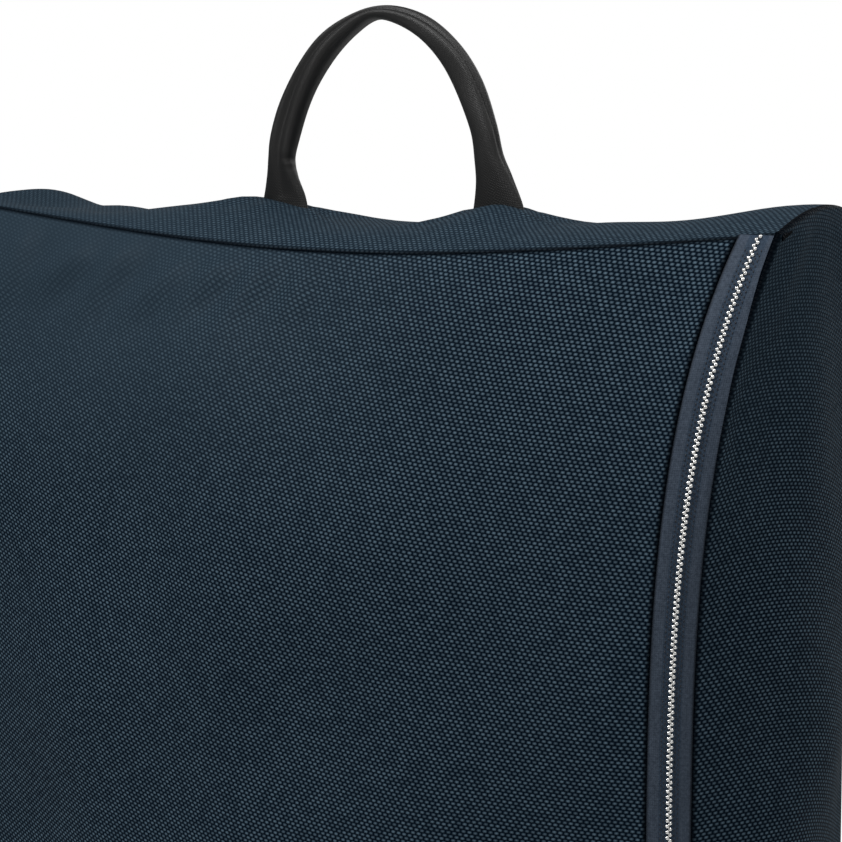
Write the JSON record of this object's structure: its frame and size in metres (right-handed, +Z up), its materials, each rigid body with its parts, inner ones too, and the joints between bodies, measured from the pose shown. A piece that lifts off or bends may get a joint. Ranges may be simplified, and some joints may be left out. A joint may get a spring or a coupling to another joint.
{
  "type": "garment bag",
  "caption": "Full-length gusseted cloth garment bag, closed and filled, with a zip up one front edge, a carrying loop on top and a hanger bracket inside.",
  "frame": {"origin": "middle of the flat base the bag stands on", "axes": "+X across the bag to its right edge, -Y out of the front panel, +Z up towards the handle"},
  "size_m": [0.5614, 0.2226, 1.1175],
  "materials": {
    "shell_cloth": "navy ballistic basket weave, slight sheen",
    "zip_tape": "smooth woven polyester tape, matt",
    "zip_metal": "bright nickel",
    "handle_webbing": "black webbing, matt to satin",
    "inner_webbing": "plain black webbing, matt",
    "board": "matt sheet",
    "bracket_steel": "brushed",
    "buckle_plastic": "moulded, matt"
  },
  "bodies": {
    "bag": {"front_panel": "shell_cloth", "back_panel": "shell_cloth", "left_gusset": "shell_cloth", "right_gusset": "shell_cloth", "top_gusset": "shell_cloth", "bottom_gusset": "shell_cloth", "zip_tape_front": "zip_tape", "zip_tape_side": "zip_tape", "zip_teeth_front": "zip_metal", "zip_teeth_side": "zip_metal", "zip_bottom_stop": "zip_metal", "handle_foot_left": "handle_webbing", "handle_foot_right": "handle_webbing", "handle_backing_left": "inner_webbing", "handle_backing_right": "inner_webbing", "front_binding": "inner_webbing", "back_binding": "inner_webbing", "base_board": "board", "hanger_strap": "inner_webbing", "hanger_bracket": "bracket_steel", "clamp_pin": "bracket_steel", "bracket_rivets": "bracket_steel", "tie_strap_left": "inner_webbing", "tie_strap_right": "inner_webbing", "tie_patch_left": "inner_webbing", "tie_patch_right": "inner_webbing", "buckle_socket": "buckle_plastic"},
    "slider": {"slider_body": "zip_metal", "slider_bridge": "zip_metal"},
    "pull": {"pull_tab": "zip_metal"},
    "handle": {"handle_loop": "handle_webbing"},
    "jaw": {"clamp_jaw": "bracket_steel"},
    "plug": {"buckle_plug": "buckle_plastic"}
  },
  "joints": [
    {"name": "zip_slide", "type": "slide", "parent": "bag", "child": "slider", "axis": [0, 0, 1], "range_m": [0, 0.565]},
    {"name": "pull_swing", "type": "hinge", "parent": "slider", "child": "pull", "pos_m": [0.2432, -0.09395, 0.104], "axis": [-0.7193, -0.6947, 0], "range_deg": [0, 150]},
    {"name": "handle_flop", "type": "hinge", "parent": "bag", "child": "handle", "pos_m": [0, 0, 1.01716], "axis": [1, 0, 0], "range_deg": [-75, 75]},
    {"name": "jaw_open", "type": "hinge", "parent": "bag", "child": "jaw", "pos_m": [0, -0.018, 0.894], "axis": [1, 0, 0], "range_deg": [0, 100]},
    {"name": "buckle_release", "type": "slide", "parent": "bag", "child": "plug", "axis": [1, 0, 0], "range_m": [0, 0.02]}
  ]
}
